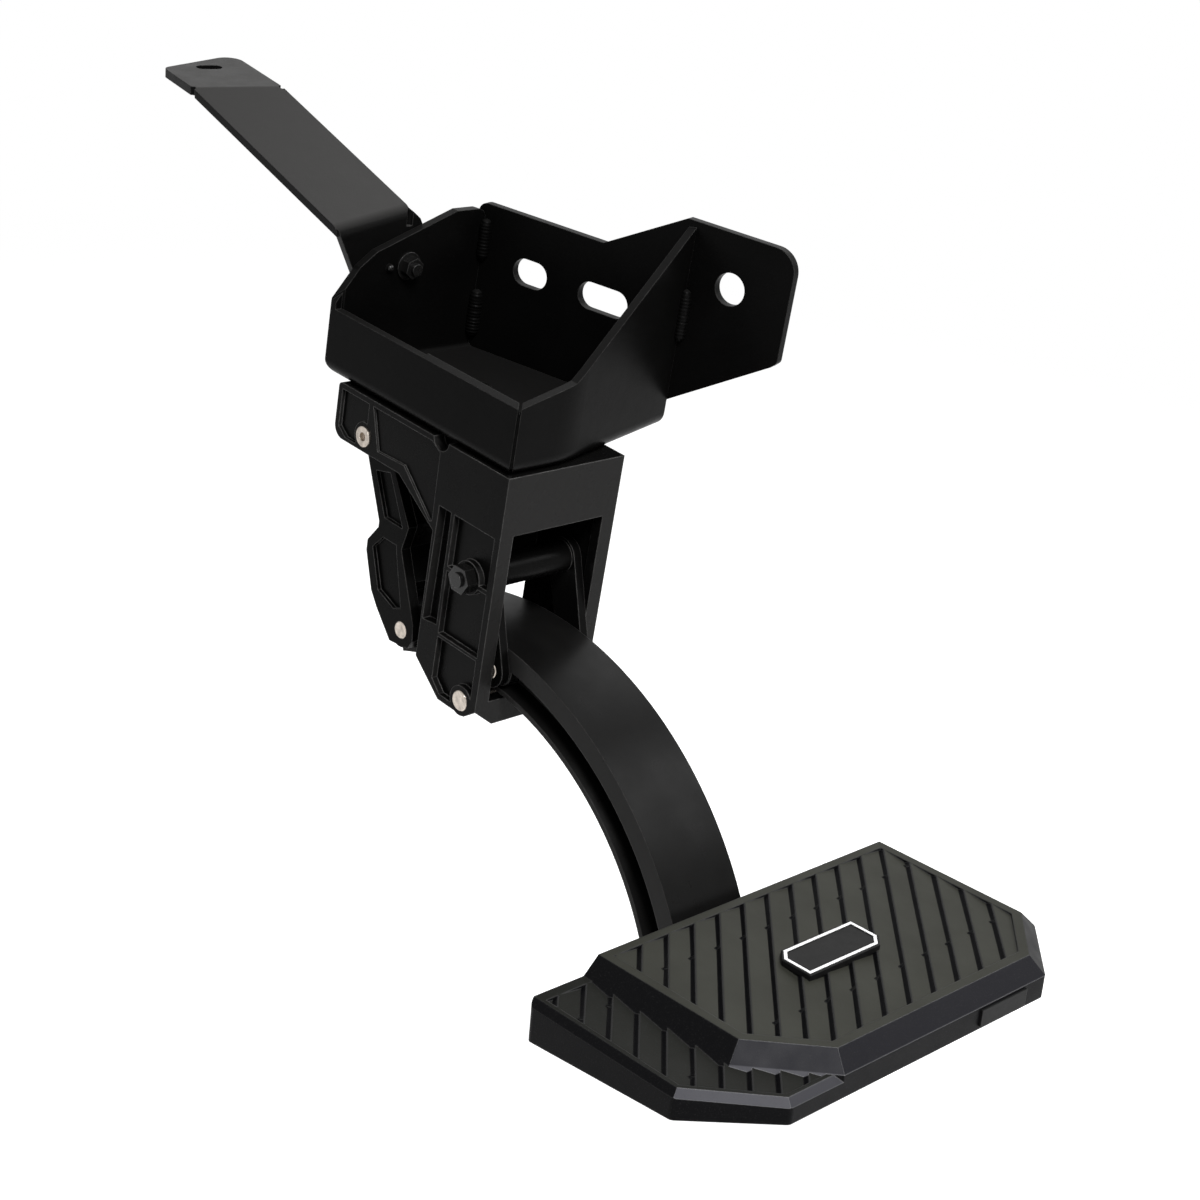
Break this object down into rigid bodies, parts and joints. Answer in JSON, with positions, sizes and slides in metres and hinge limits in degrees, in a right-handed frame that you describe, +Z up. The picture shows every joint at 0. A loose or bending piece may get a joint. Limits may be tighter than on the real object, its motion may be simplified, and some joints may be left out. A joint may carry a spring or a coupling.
{
  "type": "retractable vehicle step",
  "caption": "Retractable vehicle step: folded mounting bracket with support strap, cast housing, four-bar linkage, curved arm and a two-level treaded step pad.",
  "frame": {"origin": "centre of the back plate's round bolt hole, on the face that bears on the vehicle", "axes": "+X across the step along its hinge pins, towards the bearing face's side; +Y to the rear, from the step pad towards the support strap; +Z up"},
  "size_m": [0.325, 0.7801, 0.4241],
  "materials": {
    "bracket_steel": "satin black powder coat",
    "casting": "satin black powder coat on cast metal",
    "arm_casting": "satin black powder coat on cast metal",
    "carrier_steel": "satin black",
    "pad_plastic": "grained matt charcoal",
    "badge": "satin, blank",
    "pin_steel": "zinc plated",
    "bush_bronze": "sintered bronze",
    "fastener_steel": "black zinc"
  },
  "bodies": {
    "frame": {"bracket_tray": "bracket_steel", "back_plate": "bracket_steel", "support_strap": "bracket_steel", "strap_bolt": "fastener_steel", "strap_washer": "fastener_steel", "strap_inner_washer": "fastener_steel", "strap_nut": "fastener_steel", "strap_pin": "fastener_steel", "housing": "casting", "housing_bolts": "fastener_steel", "upper_pin": "pin_steel", "stop_rod": "pin_steel", "hub_bolt": "fastener_steel", "hub_nut": "fastener_steel", "hub_bush": "bush_bronze"},
    "rear_link": {"rear_link": "casting", "upper_bush_left": "bush_bronze", "upper_bush_right": "bush_bronze", "lower_pin": "pin_steel"},
    "arm": {"arm": "arm_casting", "arm_foot": "arm_casting", "lower_bush_left": "bush_bronze", "lower_bush_right": "bush_bronze", "pad_carrier": "carrier_steel", "step_pad": "pad_plastic", "pad_screws": "fastener_steel", "foot_bolts": "fastener_steel", "foot_nuts": "fastener_steel", "deck_badge": "badge", "front_badge": "badge"},
    "front_link": {"front_link": "casting", "front_pin": "pin_steel"}
  },
  "joints": [
    {"name": "step_swing", "type": "hinge", "parent": "frame", "child": "rear_link", "pos_m": [-0.12492, 0.14494, -0.1351], "axis": [1, 0, 0], "range_deg": [0, 23.4]},
    {"name": "arm_pivot", "type": "hinge", "parent": "rear_link", "child": "arm", "pos_m": [-0.12492, 0.0947, -0.25886], "axis": [1, 0, 0], "range_deg": [-32.1, 0]},
    {"name": "front_link_pivot", "type": "hinge", "parent": "frame", "child": "front_link", "pos_m": [-0.12492, 0.02624, -0.1866], "axis": [1, 0, 0], "range_deg": [0, 52.1]}
  ],
  "couplings": [
    {"joint": "arm_pivot", "follows": "step_swing", "ratio": -1.3674},
    {"joint": "front_link_pivot", "follows": "step_swing", "ratio": 2.2202}
  ]
}
